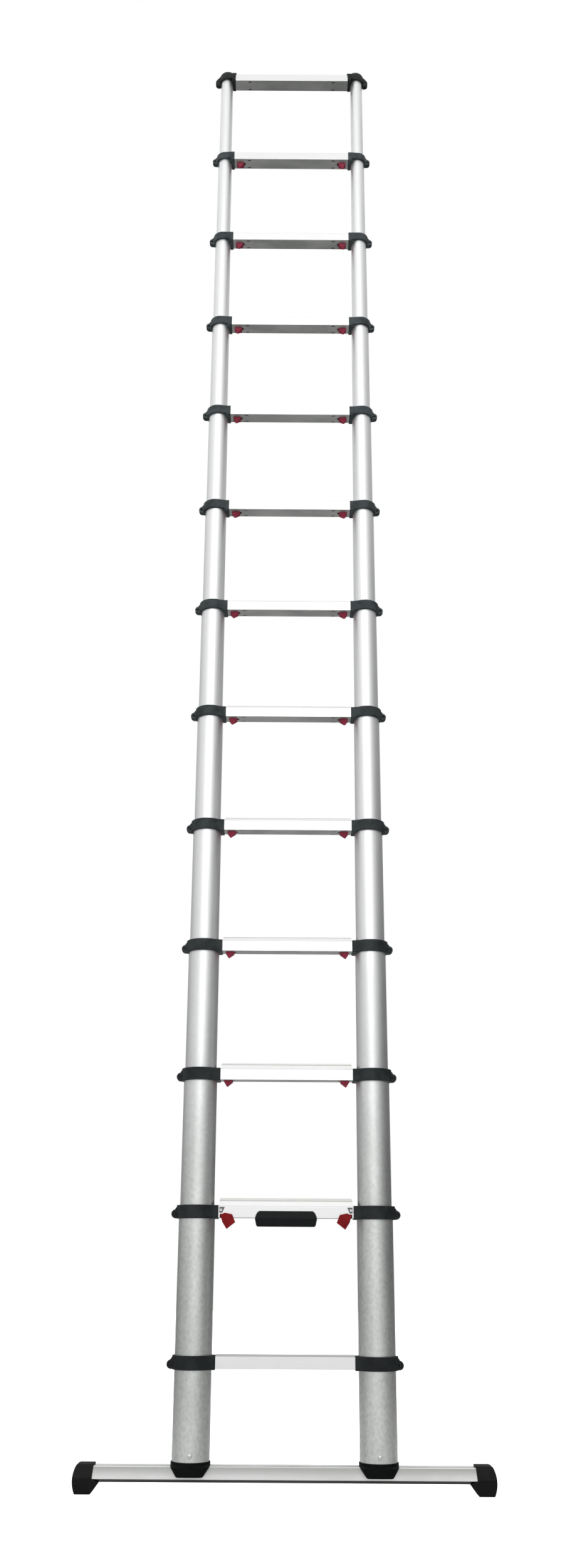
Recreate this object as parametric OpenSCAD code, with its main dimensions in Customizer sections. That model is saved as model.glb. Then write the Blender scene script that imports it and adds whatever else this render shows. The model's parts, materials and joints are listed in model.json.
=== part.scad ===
// Telescoping ladder, fully extended: thirteen rungs on nested round stiles,
// with a stabiliser bar. Origin on the floor midway between the stiles; +Z runs
// up the ladder, X runs along the rungs and the climber stands on the -Y side.

/* [Stiles] */
// Distance between the centre lines of the two stiles
stile_gap = 396; // [380:1:420]
// Outside diameter of the lowest and widest tube
bottom_tube_d = 80; // [78:1:84]
// Diameter lost from one tube to the next
tube_step = 4; // [4:0.1:4.4]
// Wall thickness of every tube
tube_wall = 1.5; // [1.2:0.1:1.6]
// Length of a tube that stays inside the tube below
tube_overlap = 60; // [50:1:80]

/* [Rungs] */
// Height from one rung to the next
rung_pitch = 300; // [270:1:300]
// Extra height of the top rung over that even pitch
top_rung_rise = 8; // [0:1:9]
// Distance of the lowest rung below that even pitch
first_rung_drop = 7; // [0:1:8]
// Height above the floor from which the rungs' even pitch is counted
first_collar_z = 245; // [230:1:260]
// Wall thickness of the rung extrusions
rung_wall = 1.6; // [1.4:0.1:1.8]
// Height of the ribs on the treads
rib_h = 0.9; // [0.5:0.1:1.2]

/* [Collars] */
// Height of a collar's band
collar_h = 28.5; // [28:0.5:30]
// Thickness of a collar round its tube
collar_wall = 5.5; // [4.5:0.5:6]
// Distance from a tube's inner side to the end of the rung
neck_len = 8.5; // [8:0.5:10]
// Reach of the clamping ear beyond the band
ear_reach = 11.5; // [10:0.5:13]

/* [Base] */
// Width over the rubber feet of the stabiliser bar
base_w = 885; // [820:5:950]
// Depth of the stabiliser bar
bar_depth = 37; // [34:1:40]
// Height of the bar's underside above the floor
bar_z = 22.5; // [20:0.5:23]
// Height of the bar's section
bar_h = 31; // [28:1:31]

/* [Controls] */
// Drop of a release button below its rung
button_drop = 13.5; // [10:0.5:13.5]
// Thickness of a thumb trigger's paddle
paddle_t = 5.4; // [4:0.2:6]

/* [Hidden] */
rung_count = 13;
tube_count = 12;
clear = 0.05; // running and locating clearance on radius
eps = 0.01;
stile_x = stile_gap / 2;
rung_lift = 2; // rung's underside above the collar's lower edge
tube_in_collar = 22; // height of a tube's end above its collar's lower edge
tube_in_cap = 34; // the same for the last tube in its end cap
// Rung section, front to back along Y and up along Z, without the ribs
front_y = -25;
rung_core = [[front_y, 0], [front_y, 24], [-3.3, 36.5], [24.4, 43.2], [13, 0]];
plain_core = [[front_y, 0], [front_y, 24.5], [16, 27.5], [19, 26], [19, 0]];
tread_from = rung_core[2];
tread_to = rung_core[3];
rib_pitch = 4.4;
neck_front = front_y - 2;
neck_back = 16;
neck_block = 7; // length of the full-height block at the rung's end
end_cut_z = collar_h - rung_lift; // above this the rung's ends are cut back
end_cut_run = 2;
// Release buttons, measured inward from the rung's end
button_from = 7.5;
button_to = 28;
button_y0 = -12;
button_y1 = 8;
// Thumb trigger: pivot and lock pin, measured inward from the rung's end and up
pivot_u = 5.6;
pivot_z = 16.4;
pin_z = 5.5;
pin_r = 3.5;
bracket_back = -4.6;
// Foot caps and their bolts
cap_z0 = 34.5;
cap_z1 = 62;
tube_foot_z = 56;
foot_bolt_z = 74;
bar_end_inset = 16; // from the feet's outer face to the bar's end
bar_bolt_r = 4;
foot_bolt_r = 3;
$fn = 64;

function two(k) = k < 10 ? str("0", k) : str(k);
function numbered(name, from, to) = [for (k = [from:to]) str(name, two(k))];

// Outside radius of tube k, counted from the bottom
function tube_r(k) = (bottom_tube_d - tube_step * (k - 1)) / 2;
// Lower edge of the collars that hold rung j
function collar_shift(j) = j == 1 ? -first_rung_drop : j == rung_count ? top_rung_rise : 0;
function collar_z(j) = first_collar_z + rung_pitch * (j - 1) + collar_shift(j);
// Lower edge of the band of rung j above its collar's, which grows up the ladder
function band_lift(j) = 0.6 * max(0, j - 2);
// Tube gripped by the collars of rung j
function held_tube(j) = max(1, j - 1);
// Half the length of rung j, which is also where its collars' necks end
function rung_half(j) = stile_x - tube_r(held_tube(j)) - neck_len;

function unit(v) = v / norm(v);
function inward(v) = [v[1], -v[0]];
function cross2(a, b) = a[0] * b[1] - a[1] * b[0];
function meet(p, a, q, b) = p + a * cross2(q - p, b) / cross2(a, b);
// A clockwise outline moved inward by w, or outward where w is negative
function inset(pts, w) = let (n = len(pts)) [
    for (i = [0:n - 1])
        let (a = unit(pts[i] - pts[(i + n - 1) % n]), b = unit(pts[(i + 1) % n] - pts[i]))
            meet(pts[i] + w * inward(a), a, pts[i] + w * inward(b), b)];
// Points of one rib at distance t along the tread
function rib(t) = let (d = unit(tread_to - tread_from), up = -rib_h * inward(d)) [
    tread_from + d * t, tread_from + d * (t + 0.4) + up,
    tread_from + d * (t + 2.0) + up, tread_from + d * (t + 2.4)];
ribbed_outline = concat(
    [rung_core[0], rung_core[1], rung_core[2]],
    [for (i = [0:5], p = rib(1.5 + i * rib_pitch)) p],
    [rung_core[3], rung_core[4]]);

// Extrudes a (Y, Z) outline along X from x0 to x1
module along_x(x0, x1) {
    translate([x0, 0, 0]) rotate([90, 0, 90]) linear_extrude(x1 - x0) children();
}
// Extrudes an (X, Z) outline along Y from y0 to y1
module along_y(y0, y1) {
    translate([0, y1, 0]) rotate([90, 0, 0]) linear_extrude(y1 - y0) children();
}
// Box between two corners
module block(lo, hi) {
    translate(lo) cube(hi - lo);
}
// Cylinder along Y through the point (x, z)
module rod_y(x, z, y0, y1, r) {
    translate([x, y1, z]) rotate([90, 0, 0]) cylinder(h = y1 - y0, r = r);
}
// Cylinder along X through the point (y, z)
module rod_x(y, z, x0, x1, r) {
    translate([x0, y, z]) rotate([0, 90, 0]) cylinder(h = x1 - x0, r = r);
}
// The right-hand piece and its mirror image
module both_sides() {
    children();
    mirror([1, 0, 0]) children();
}

// ---- Stiles ----
module tube(k) {
    z0 = k == 1 ? tube_foot_z : collar_z(k) + tube_in_collar - tube_overlap;
    z1 = collar_z(k + 1) + (k == tube_count ? tube_in_cap : tube_in_collar);
    r = tube_r(k);
    difference() {
        translate([stile_x, 0, z0]) cylinder(h = z1 - z0, r = r);
        translate([stile_x, 0, z0 - 1]) cylinder(h = z1 - z0 + 2, r = r - tube_wall);
        if (k == 1) {
            rod_y(stile_x, foot_bolt_z, -r - 1, r + 1, foot_bolt_r + clear);
            rod_x(0, collar_z(2) + rung_lift + pin_z, stile_x - r - 1, stile_x, pin_r + 0.3);
        }
    }
}
module tubes(k) {
    color([0.80, 0.81, 0.80]) both_sides() tube(k);
}

// ---- Rungs ----
// Sloping cut that trims the upper corner of a rung's right-hand end
module end_cut(half) {
    along_y(-40, 40) polygon([
        [half, end_cut_z], [half - end_cut_run, end_cut_z + 18],
        [half + 2, end_cut_z + 18], [half + 2, end_cut_z]]);
}
// Openings in the underside for a release button and its guide
module button_openings(half) {
    gap = 0.3;
    z0 = -1;
    z1 = rung_wall + 1;
    block([half - button_to - gap, button_y0 - gap, z0],
          [half - button_from + gap, button_y1 + gap, z1]);
    block([half - button_to - 4.6, button_y0 + 2, z0], [half - button_to, -0.5, z1]);
}
// Small slots in the underside that the inner parts hook into
module hook_slots(half) {
    slot_from = half - 49;
    for (y = [-20, 7])
        block([slot_from, y, -1], [slot_from + 9.5, y + 3, rung_wall + 1]);
}
// Openings in the second rung's front and underside for a thumb trigger
module trigger_openings(half) {
    along_y(front_y - 1, front_y + rung_wall + 1) {
        polygon([[half - 2, 22.6], [half - 14, 22.6], [half - 8.5, 10], [half - 2, 10]]);
        polygon([[half - 3, -1], [half - 21, -1], [half - 21, 7.8], [half - 3, 7.8]]);
    }
    block([half - 21, front_y - 1, -1], [half - 3, -5, rung_wall + eps]);
}
module rung(j) {
    half = rung_half(j);
    outer = j == 1 ? plain_core : ribbed_outline;
    core = j == 1 ? plain_core : rung_core;
    color([0.90, 0.90, 0.89]) translate([0, 0, collar_z(j) + rung_lift]) difference() {
        along_x(-half, half) difference() {
            polygon(outer);
            polygon(inset(core, rung_wall));
        }
        both_sides() {
            if (j > 1) end_cut(half);
            if (j > 1) hook_slots(half);
            if (j == 2) trigger_openings(half);
            if (j > 2 && j < rung_count) button_openings(half);
        }
    }
}

// ---- Collars ----
// Band round the tube with softened edges, z0 to the collar's top
module band(r, z0) {
    soft = 1.5;
    w = r + collar_wall;
    translate([stile_x, 0, 0]) rotate_extrude($fn = 96) polygon([
        [0, z0], [w - soft, z0], [w, z0 + soft], [w, collar_h - soft],
        [w - soft, collar_h], [0, collar_h]]);
}
// Neck from the rung's end to the tube, z0 to z1, with the block at the rung's end
module neck(r, half, z0, z1) {
    w = r + collar_wall;
    shoulder = half + neck_block;
    block([half, neck_front, 0], [shoulder, neck_back, z1]);
    translate([0, 0, z0]) linear_extrude(z1 - z0) polygon([
        [half, neck_front], [shoulder, neck_front], [stile_x, -w],
        [stile_x, w], [shoulder, neck_back], [half, neck_back]]);
}
// Clamping ear on the outer side, drawn once for each rise, with its screw recess
module ear(r, rises = [0]) {
    ear_r = 9.5;
    ear_z = 10;
    root = stile_x + r + collar_wall;
    tip = root + ear_reach - ear_r;
    difference() {
        along_y(-7, 7) for (rise = rises) translate([0, rise]) {
            translate([tip, ear_z]) circle(r = ear_r);
            polygon([[stile_x + r - 4, 0.5], [stile_x + r - 4, 24],
                     [root + 1, 24], [tip + 2, ear_z + 8.5], [tip, 0.5]]);
        }
        rod_y(tip + 2, ear_z + max(rises) / 2, -7.5, -3, 3.2);
    }
}
// Tongue that fills the rear and top of the rung's end
module spigot(half) {
    tongue = 12;
    difference() {
        intersection() {
            along_x(half - tongue, half + 1) polygon(inset(rung_core, rung_wall + clear));
            union() {
                block([half - tongue, -4.5, 13], [half + 1, 30, end_cut_z - 1]);
                block([half - tongue, -30, 24.5], [half, 30, 50]);
            }
        }
        end_cut(half);
    }
}
module collar(j) {
    r = tube_r(held_tube(j));
    half = rung_half(j);
    translate([0, 0, collar_z(j)]) difference() {
        union() {
            band(r, band_lift(j));
            neck(r, half, band_lift(j), collar_h);
            ear(r);
            if (j > 1) translate([0, 0, rung_lift]) spigot(half);
        }
        translate([stile_x, 0, -1])
            cylinder(h = j == 1 ? collar_h + 2 : tube_in_collar + 1, r = r);
        if (j > 1)
            translate([stile_x, 0, 0]) cylinder(h = collar_h + 1, r = tube_r(j) + clear);
        if (j == 2) rod_x(0, rung_lift + pin_z, half - 20, stile_x, pin_r + clear);
    }
}
module collars(j) {
    color([0.16, 0.18, 0.20]) both_sides() collar(j);
}
// Closed caps that end the stiles and hold the top rung
module end_cap() {
    r = tube_r(tube_count);
    half = rung_half(rung_count);
    w = r + collar_wall;
    ring_z = 12;
    shell_z = 32;
    crown = 22;
    cover = inset(rung_core, -3.5);
    translate([0, 0, collar_z(rung_count)]) difference() {
        union() {
            translate([stile_x, 0, 0]) rotate_extrude($fn = 96) polygon(concat(
                [[0, ring_z], [w - 1.5, ring_z], [w, ring_z + 1.5]],
                [for (a = [0:9:90]) [w * cos(a), shell_z + crown * sin(a)]]));
            neck(r, half, ring_z, shell_z);
            ear(r, [0, 7]);
            translate([0, 0, rung_lift]) {
                // sleeve with a slanting edge over the rung's end
                difference() {
                    intersection() {
                        along_x(half - 8, half + 9) polygon(cover);
                        along_y(-40, 40) polygon([
                            [half, -2], [half, 6], [half - 6, 50], [half + 10, 50],
                            [half + 10, -2]]);
                    }
                    along_x(half - 9, half) polygon(ribbed_outline);
                }
                // saddle from the sleeve to the crown
                intersection() {
                    along_x(half + 8, stile_x) polygon(cover);
                    along_y(-w, w) square([stile_x, shell_z + crown - 5]);
                }
                // tongue inside the rung's end
                intersection() {
                    along_x(half - 12, half + 1) polygon(inset(rung_core, rung_wall + clear));
                    block([half - 12, -30, 13], [half + 1, 30, 50]);
                }
            }
        }
        translate([stile_x, 0, -1]) cylinder(h = tube_in_cap + 1, r = r);
    }
}
module end_caps() {
    color([0.16, 0.18, 0.20]) both_sides() end_cap();
}

// ---- Release buttons ----
module release_button(j) {
    half = rung_half(j);
    inner = half - button_to;
    outer = half - button_from;
    apex = half - 15.5;
    translate([0, 0, collar_z(j) + rung_lift]) {
        intersection() {
            along_y(button_y0, button_y1) polygon([
                [inner, rung_wall + 1], [outer, rung_wall + 1], [outer, -2],
                [apex + 1, -button_drop], [apex - 1, -button_drop], [inner, -3.5]]);
            along_x(inner, outer) polygon([
                [button_y0, rung_wall + 1], [button_y1, rung_wall + 1], [button_y1, -1],
                [-1, -button_drop], [-5, -button_drop], [button_y0, -1]]);
        }
        // flange that rests on the inside of the rung's underside
        block([inner - 1.5, button_y0 - 1.5, rung_wall], [outer + 1.5, button_y1 + 1.5, 3.6]);
        // ramp that draws the catch back
        along_y(-4, 4) polygon([
            [inner + 2, 3], [outer - 2, 3], [outer - 2, 5], [inner + 8, 10], [inner + 2, 10]]);
    }
}
module release_buttons(j) {
    color([0.62, 0.22, 0.30]) both_sides() release_button(j);
}

// ---- Thumb triggers on the second rung ----
module trigger_frame() {
    translate([0, 0, collar_z(2) + rung_lift]) children();
}
module thumb_trigger() {
    half = rung_half(2);
    face = front_y - 0.6;
    x = half - pivot_u;
    color([0.55, 0.09, 0.13]) trigger_frame() difference() {
        union() {
            // paddle in front of the rung, with a hollow edge for the thumb
            along_y(face - paddle_t, face) difference() {
                polygon([
                    [half - 4.7, 6.1], [half - 14.5, 10.3], [half - 30.6, 7],
                    [half - 37.6, -9.7], [half - 18.7, -24], [half - 9, -9.2]]);
                translate([half + 34, -22]) circle(r = 43.2);
            }
            // bridge through the notch in the rung's front wall
            block([half - 12, face - 1, -2], [half - 6.5, -8, 3]);
            // arm up to the pivot, and the hub round it
            along_y(-13, -8) polygon([
                [x - 4.2, pivot_z], [x + 3.2, pivot_z], [half - 2.6, 3], [half - 6.5, -2],
                [half - 12, -2], [half - 12, 3]]);
            rod_y(x, pivot_z, -21.4, -8, 4.2);
            // tine that sits in the lock pin's groove
            rod_y(half - 3.3, 5.75, -9, -2.1, 1.5);
        }
        rod_y(x, pivot_z, -22, -7, 2 + clear);
    }
}
module lock_pin() {
    half = rung_half(2);
    tip = stile_x - tube_r(2) - 0.3;
    color([0.70, 0.71, 0.72]) trigger_frame() difference() {
        rod_x(0, pin_z, half - 14, tip, pin_r);
        difference() {
            rod_x(0, pin_z, half - 5.3, half - 1.3, pin_r + 1);
            rod_x(0, pin_z, half - 6, half, 1.8);
        }
    }
}
// Steel channel behind each cut-out that carries a trigger's pivot
module trigger_bracket() {
    half = rung_half(2);
    front = front_y + rung_wall;
    leg = 1.5;
    trigger_frame() color([0.62, 0.62, 0.61]) difference() {
        along_x(half - 15, half - 1.2) polygon([
            [front, 9], [front + leg, 9], [front + leg, 21.3], [bracket_back - leg, 21.3],
            [bracket_back - leg, 9], [bracket_back, 9], [bracket_back, 22.8], [front, 22.8]]);
        rod_y(half - pivot_u, pivot_z, -30, 0, 2);
    }
}
module trigger_pivot() {
    half = rung_half(2);
    front = front_y + rung_wall;
    color([0.85, 0.85, 0.85]) trigger_frame() {
        rod_y(half - pivot_u, pivot_z, front - eps, bracket_back, 2);
        rod_y(half - pivot_u, pivot_z, front - 1.2, front, 2.8);
    }
}

// ---- Base ----
module bar_outline(w) {
    d = bar_depth / 2;
    polygon(inset([
        [-d, bar_z + 6], [-d, bar_z + bar_h - 1.5], [1.5 - d, bar_z + bar_h],
        [5.5 - d, bar_z + bar_h], [6.5 - d, bar_z + bar_h - 1.2],
        [d - 6.5, bar_z + bar_h - 1.2], [d - 5.5, bar_z + bar_h],
        [d - 1.5, bar_z + bar_h], [d, bar_z + bar_h - 1.5], [d, bar_z + 6],
        [d - 4.5, bar_z], [4.5 - d, bar_z]], w));
}
module stabiliser_bar() {
    half = base_w / 2 - bar_end_inset;
    color([0.82, 0.83, 0.82]) difference() {
        along_x(-half, half) difference() {
            bar_outline(0);
            bar_outline(2);
        }
        both_sides() translate([stile_x, 0, 0]) {
            cylinder(h = 80, r = bar_bolt_r);
            // access to the bolt's head from below
            cylinder(h = bar_z + 5, r = 8.5);
        }
    }
}
module bar_foot() {
    out = base_w / 2;
    d = 22.5;
    curve_r = 60;
    difference() {
        intersection() {
            // front outline: sole, inner edge and top
            along_y(-d, d) polygon([
                [out + 1, 0], [out - 38.5, 0], [out - 55.5, bar_z], [out - 40.5, bar_z + 6],
                [out - 44, 57], [out - 13, 57], [out + 1, 48]]);
            // curved outer side
            rod_y(out - curve_r, 26, -d, d, curve_r);
            // side outline, leaning back in its upper half
            along_x(out - 60, out) polygon([
                [-d, 2], [-d, 31], [-19.8, 57], [19.8, 57], [d, 31], [d, 2], [d - 2, 0],
                [2 - d, 0]]);
        }
        along_x(out - 60, out - bar_end_inset) bar_outline(0);
    }
}
module bar_feet() {
    color([0.13, 0.14, 0.13]) both_sides() bar_foot();
}
module stile_foot_cap() {
    r = tube_r(1);
    skirt = r + 2;
    saddle = r + 1.5;
    difference() {
        union() {
            translate([stile_x, 0, cap_z0 + 18]) cylinder(h = cap_z1 - cap_z0 - 18, r = skirt);
            // squarer lower part that hangs in front of and behind the bar
            translate([stile_x, 0, 0]) intersection() {
                translate([0, 0, cap_z0]) cylinder(h = 22, r = r + 9);
                along_y(-saddle, saddle) polygon([
                    [-28, cap_z0], [28, cap_z0], [saddle, cap_z0 + 18], [saddle, cap_z0 + 22],
                    [-saddle, cap_z0 + 22], [-saddle, cap_z0 + 18]]);
            }
            // plug inside the tube
            translate([stile_x, 0, cap_z1 - 10]) cylinder(h = 30, r = r - tube_wall - clear);
        }
        difference() {
            translate([stile_x, 0, tube_foot_z]) cylinder(h = 40, r = r);
            translate([stile_x, 0, tube_foot_z - 1]) cylinder(h = 42, r = r - tube_wall - clear);
        }
        along_x(stile_x - 60, stile_x + 60) bar_outline(0);
        block([stile_x - 60, 4 - bar_depth / 2, 0],
              [stile_x + 60, bar_depth / 2 - 4, bar_z + bar_h - 1]);
        translate([stile_x, 0, 0]) cylinder(h = 68, r = bar_bolt_r);
        rod_y(stile_x, foot_bolt_z, -50, 50, foot_bolt_r);
    }
}
module stile_foot_caps() {
    color([0.10, 0.11, 0.11]) both_sides() stile_foot_cap();
}
module foot_bolts() {
    r = tube_r(1);
    color([0.82, 0.82, 0.82]) both_sides() {
        rod_y(stile_x, foot_bolt_z, -r - 1, r + 1, foot_bolt_r);
        rod_y(stile_x, foot_bolt_z, -r - 3.4, -r, 5);
        rod_y(stile_x, foot_bolt_z, r, r + 3.4, 5);
    }
}
// Bolts from inside the bar up into the foot caps' plugs
module bar_bolts() {
    seat = bar_z + bar_h - 3.2;
    color([0.70, 0.70, 0.70]) both_sides() translate([stile_x, 0, 0]) {
        translate([0, 0, seat - 5]) cylinder(h = 5, r = 6.5, $fn = 6);
        translate([0, 0, seat - 1]) cylinder(h = 69 - seat, r = bar_bolt_r);
    }
}
// Blank plate that hugs the lower front edge of the second rung
module label_plate() {
    w = 68.5;
    color([0.10, 0.11, 0.13]) translate([0, 0, collar_z(2) + rung_lift]) intersection() {
        along_x(-w, w) polygon([
            [front_y, 14.5], [front_y - 2, 14.5], [front_y - 5.5, -1], [front_y - 3, -18.5],
            [front_y + 5, -18.5], [front_y + 5, 0], [front_y, 0]]);
        along_y(-40, 0) polygon([
            [-w, -3], [-w + 1, 3], [-w + 4, 10], [-w + 9, 14.5], [w - 9, 14.5], [w - 4, 10],
            [w - 1, 3], [w, -3], [w - 3, -16.5], [w - 6, -18.5], [6 - w, -18.5],
            [3 - w, -16.5]]);
    }
}

for (k = [1:tube_count])
    tubes(k);
for (j = [1:rung_count])
    rung(j);
for (j = [1:rung_count - 1])
    collars(j);
for (j = [3:rung_count - 1])
    release_buttons(j);
end_caps();
thumb_trigger();  // thumb_trigger_right
mirror([1, 0, 0]) thumb_trigger();  // thumb_trigger_left
lock_pin();  // lock_pin_right
mirror([1, 0, 0]) lock_pin();  // lock_pin_left
both_sides() trigger_bracket();  // trigger_brackets
both_sides() trigger_pivot();  // trigger_pivots
stabiliser_bar();
bar_feet();
bar_bolts();
stile_foot_caps();
foot_bolts();
label_plate();
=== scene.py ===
"""Looks of the telescoping ladder, in metres, in the CAD model's own frame.

+Z runs up the ladder, X along the rungs, and the climber stands on the -Y side.
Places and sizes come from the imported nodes' boxes and from the named values below.
"""

import json
import math

import bmesh
import bpy
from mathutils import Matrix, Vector


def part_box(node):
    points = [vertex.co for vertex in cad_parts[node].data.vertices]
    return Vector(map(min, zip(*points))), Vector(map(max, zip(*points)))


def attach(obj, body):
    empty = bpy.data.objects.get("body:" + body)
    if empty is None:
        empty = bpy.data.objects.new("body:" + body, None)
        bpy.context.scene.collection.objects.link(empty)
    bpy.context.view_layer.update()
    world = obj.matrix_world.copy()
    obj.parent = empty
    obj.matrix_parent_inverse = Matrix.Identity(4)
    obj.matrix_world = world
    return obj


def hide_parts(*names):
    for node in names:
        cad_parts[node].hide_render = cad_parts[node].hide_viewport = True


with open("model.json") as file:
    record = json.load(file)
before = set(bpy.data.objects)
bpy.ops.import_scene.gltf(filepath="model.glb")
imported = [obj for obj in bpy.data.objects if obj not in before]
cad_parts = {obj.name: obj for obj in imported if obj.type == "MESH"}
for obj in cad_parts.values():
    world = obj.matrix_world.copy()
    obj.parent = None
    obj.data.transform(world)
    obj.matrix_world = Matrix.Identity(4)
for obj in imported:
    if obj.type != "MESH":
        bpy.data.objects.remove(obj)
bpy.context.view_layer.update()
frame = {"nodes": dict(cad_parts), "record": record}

MM = 0.001
SIDES = {"right": 1, "left": -1}
body_of = {
    node: body
    for body, nodes in frame["record"]["behaviour"]["bodies"].items()
    for node in nodes
}

box_of = {node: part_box(node) for node in frame["nodes"]}

# ---- Dimensions shared with the CAD model ----
RUNG_COUNT = 13
RUNG_PITCH = 0.3
FOOT_FOLD_Z = 31 * MM  # height of the fold in a bar foot's front
RUNG_CREASE_Z = 24.2 * MM  # where a rung's front turns into its slope
RUNG_TREAD_Z = 35.0 * MM  # where the slope turns into the tread
RUNG_Z = box_of["rung_02"][0].z
TOP_RUNG_Z = box_of["rung_13"][0].z
TOP_RUNG_RISE = TOP_RUNG_Z - RUNG_Z - (RUNG_COUNT - 2) * RUNG_PITCH
TUBE_COUNT = 12
STILE_X = box_of["tubes_01"][1].x - box_of["tubes_01"][1].y
COLLAR_WALL = 5.5 * MM
COLLAR_H = 28.5 * MM
TUBE_IN_COLLAR = 22 * MM
EAR_R = 9.5 * MM
EAR_T = 7 * MM  # half its thickness
EAR_Z = 10 * MM  # its round edge's centre above the collar's lower edge
NECK_FRONT = -27 * MM
NECK_BACK = 16 * MM
NECK_BLOCK = 7 * MM
RUNG_LIFT = 2 * MM
TINY_R = 0.02 * MM  # radius of the small face that closes a turned shape

# ---- Camera: the photograph's viewing angle ----
CAMERA_DISTANCE = 3.107
CAMERA_HEIGHT = 0.447
CAMERA_SIDE = -0.0127
CAMERA_PITCH = 19.96  # degrees above the horizon
CAMERA_ROLL = 0.37  # degrees
LENS = 30.48  # millimetres on a 36 mm long side


def two(number):
    return f"{number:02d}"


def tube_radius(k):
    return box_of[f"tubes_{two(k)}"][1].y


def held_tube(j):
    """Number of the tube that the collars of rung j grip."""
    return max(1, j - 1)


def collar_z(j):
    return box_of[f"rung_{two(j)}"][0].z - RUNG_LIFT


def grey(level):
    return (level, level, level, 1)


def rgb(red, green, blue):
    return (red, green, blue, 1)


# ---- Camera, light and floor ----
FLOOR_GLOW = 1.1
FLOOR_GREY = 0.7
FLOOR_GREY_ASIDE = 0.2  # keeps the stiles' sides darker, unseen by the camera
FLOOR_TURNS = (0.6, 1.8)  # metres from the middle between which it darkens
FLOOR_HALF = 12.0


def make_camera():
    data = bpy.data.cameras.new("camera")
    data.lens = LENS
    data.sensor_width = 36.0
    data.clip_end = 100
    camera = bpy.data.objects.new("camera", data)
    bpy.context.scene.collection.objects.link(camera)
    camera.location = (CAMERA_SIDE, -CAMERA_DISTANCE, CAMERA_HEIGHT)
    camera.rotation_euler = (math.radians(90 + CAMERA_PITCH), 0, 0)
    camera.rotation_euler.rotate_axis("Z", math.radians(CAMERA_ROLL))
    bpy.context.scene.camera = camera


def area_light(name, place, target, size, power):
    data = bpy.data.lights.new(name, "AREA")
    data.shape = "RECTANGLE"
    data.size, data.size_y = size
    data.energy = power
    light = bpy.data.objects.new(name, data)
    bpy.context.scene.collection.objects.link(light)
    light.location = place
    aim = Vector(target) - Vector(place)
    light.rotation_euler = aim.to_track_quat("-Z", "Y").to_euler()


class Graph:
    """Short calls for building a node tree. Inputs are given by name or number."""

    def __init__(self, tree):
        self.nodes, self.links = tree.nodes, tree.links

    def node(self, kind, inputs=(), **settings):
        made = self.nodes.new(kind)
        for key, value in settings.items():
            setattr(made, key, value)
        for key, value in dict(inputs).items():
            if isinstance(value, bpy.types.NodeSocket):
                self.links.new(value, made.inputs[key])
            else:
                made.inputs[key].default_value = value
        return made

    def math(self, operation, a, b=0.0, clamp=False):
        made = self.node("ShaderNodeMath", {0: a, 1: b}, operation=operation, use_clamp=clamp)
        return made.outputs[0]

    def ramp(self, value, low, high, to_low, to_high):
        """Value from low..high mapped smoothly to to_low..to_high."""
        made = self.node(
            "ShaderNodeMapRange",
            {"Value": value, 1: low, 2: high, 3: to_low, 4: to_high},
            interpolation_type="SMOOTHSTEP",
        )
        return made.outputs[0]

    def noise(self, vector, scale, detail=3.0, stretch=(1, 1, 1)):
        """Noise from 0 to 1 over a stretched vector."""
        scaled = self.node("ShaderNodeVectorMath", {0: vector, 1: stretch}, operation="MULTIPLY")
        made = self.node(
            "ShaderNodeTexNoise", {"Vector": scaled.outputs[0], "Scale": scale, "Detail": detail}
        )
        return made.outputs[0]

    def mix(self, factor, a, b):
        made = self.node("ShaderNodeMix", {0: factor, 6: a, 7: b}, data_type="RGBA")
        return made.outputs[2]


# Light that the object sees: one wide lobe in front and a little to the left, dim
# surroundings behind and to the right, and a paler overhead.
FILL = 0.13  # from all round
LOBE = 0.98  # at the lobe's middle
LOBE_POWER = 1.35  # how fast the lobe falls off
LOBE_TURN = 10.0  # degrees from straight ahead towards the left
LEFT = 0.12  # added at the far left
RIGHT_SHADE = 0.72  # share taken away at the far right
OVERHEAD = 2.0
KEY_PLACE = (-0.15, -3.8, 3.4)
KEY_TARGET = (0, 0, 2.0)
KEY_SIZE = (2.8, 3.4)
KEY_POWER = 48  # watts


def make_world():
    world = bpy.data.worlds.new("studio")
    bpy.context.scene.world = world
    world.use_nodes = True
    world.node_tree.nodes.clear()
    g = Graph(world.node_tree)
    direction = g.node("ShaderNodeTexCoord").outputs["Generated"]
    turn = math.radians(LOBE_TURN)
    axis = (-math.sin(turn) / 2, -math.cos(turn) / 2, 0)
    facing = g.node("ShaderNodeVectorMath", {0: direction, 1: axis}, operation="DOT_PRODUCT")
    facing = g.math("ADD", facing.outputs["Value"], 0.5, clamp=True)
    lobe = g.math("MULTIPLY", g.math("POWER", facing, LOBE_POWER), LOBE)
    split = g.node("ShaderNodeSeparateXYZ", {0: direction})
    left = g.math("MULTIPLY", g.math("MINIMUM", split.outputs[0], 0.0), -LEFT)
    above = g.math("MAXIMUM", split.outputs[2], 0.0)
    over = g.math("MULTIPLY", g.math("MULTIPLY", above, above), OVERHEAD)
    over = g.math("MULTIPLY", over, g.math("SUBTRACT", 1.0, facing))
    level = g.math("ADD", g.math("ADD", lobe, left), FILL)
    shade = g.ramp(split.outputs[0], 0.5, 1.0, 1.0, 1.0 - RIGHT_SHADE)
    level = g.math("ADD", g.math("MULTIPLY", level, shade), over)
    light = g.node("ShaderNodeBackground", {"Strength": level})
    seen = g.node("ShaderNodeBackground", {"Color": grey(1), "Strength": 1.0})
    path = g.node("ShaderNodeLightPath")
    mix = g.node(
        "ShaderNodeMixShader",
        {0: path.outputs["Is Camera Ray"], 1: light.outputs[0], 2: seen.outputs[0]},
    )
    g.node("ShaderNodeOutputWorld", {"Surface": mix.outputs[0]})
    bpy.context.scene.view_settings.view_transform = "Standard"


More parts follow.
